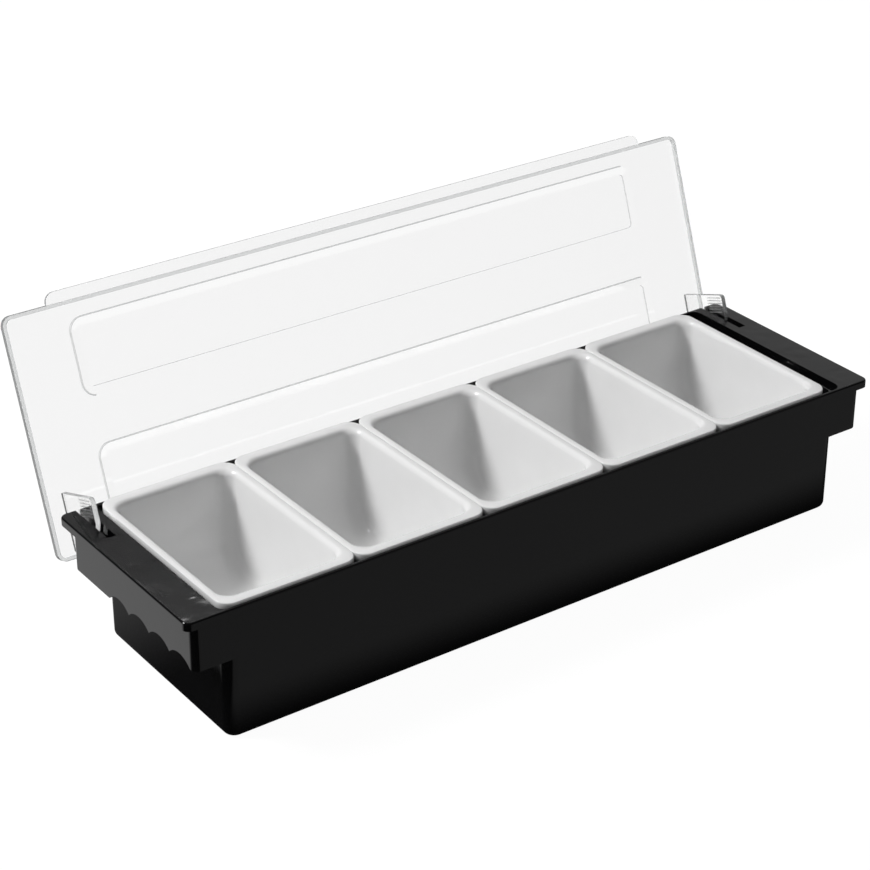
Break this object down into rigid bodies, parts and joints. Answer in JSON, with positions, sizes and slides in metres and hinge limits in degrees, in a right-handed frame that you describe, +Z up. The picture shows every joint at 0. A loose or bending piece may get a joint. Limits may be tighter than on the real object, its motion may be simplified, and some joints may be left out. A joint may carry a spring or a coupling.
{
  "type": "condiment_caddy",
  "caption": "A long moulded condiment tray with a row of lift-out inserts, hand grips at both ends and a clear full-length lid that swings back on ears in slotted end decks.",
  "frame": {"origin": "on the standing surface, under the middle of the tray's brim", "axes": "+X along the row of inserts, to the right seen from the front; -Y is the front; +Z up"},
  "size_m": [0.5, 0.203, 0.1955],
  "materials": {
    "black_plastic": "glossy black injection-moulded ABS",
    "white_plastic": "smooth white injection-moulded polypropylene",
    "clear_plastic": "clear injection-moulded polystyrene"
  },
  "bodies": {
    "tray": {"tray": "black_plastic"},
    "lid": {"lid": "clear_plastic", "lid_rim": "clear_plastic"},
    "insert_1": {"insert_1": "white_plastic"},
    "insert_2": {"insert_2": "white_plastic"},
    "insert_3": {"insert_3": "white_plastic"},
    "insert_4": {"insert_4": "white_plastic"},
    "insert_5": {"insert_5": "white_plastic"}
  },
  "joints": [
    {"name": "lid_hinge", "type": "hinge", "parent": "tray", "child": "lid", "pos_m": [0, 0.06285, 0.07014], "axis": [-1, 0, 0], "range_deg": [-109.8, 0]},
    {"name": "insert_1_lift", "type": "slide", "parent": "tray", "child": "insert_1", "axis": [0, 0, 1], "range_m": [0, 0.09]},
    {"name": "insert_2_lift", "type": "slide", "parent": "tray", "child": "insert_2", "axis": [0, 0, 1], "range_m": [0, 0.09]},
    {"name": "insert_3_lift", "type": "slide", "parent": "tray", "child": "insert_3", "axis": [0, 0, 1], "range_m": [0, 0.09]},
    {"name": "insert_4_lift", "type": "slide", "parent": "tray", "child": "insert_4", "axis": [0, 0, 1], "range_m": [0, 0.09]},
    {"name": "insert_5_lift", "type": "slide", "parent": "tray", "child": "insert_5", "axis": [0, 0, 1], "range_m": [0, 0.09]}
  ]
}
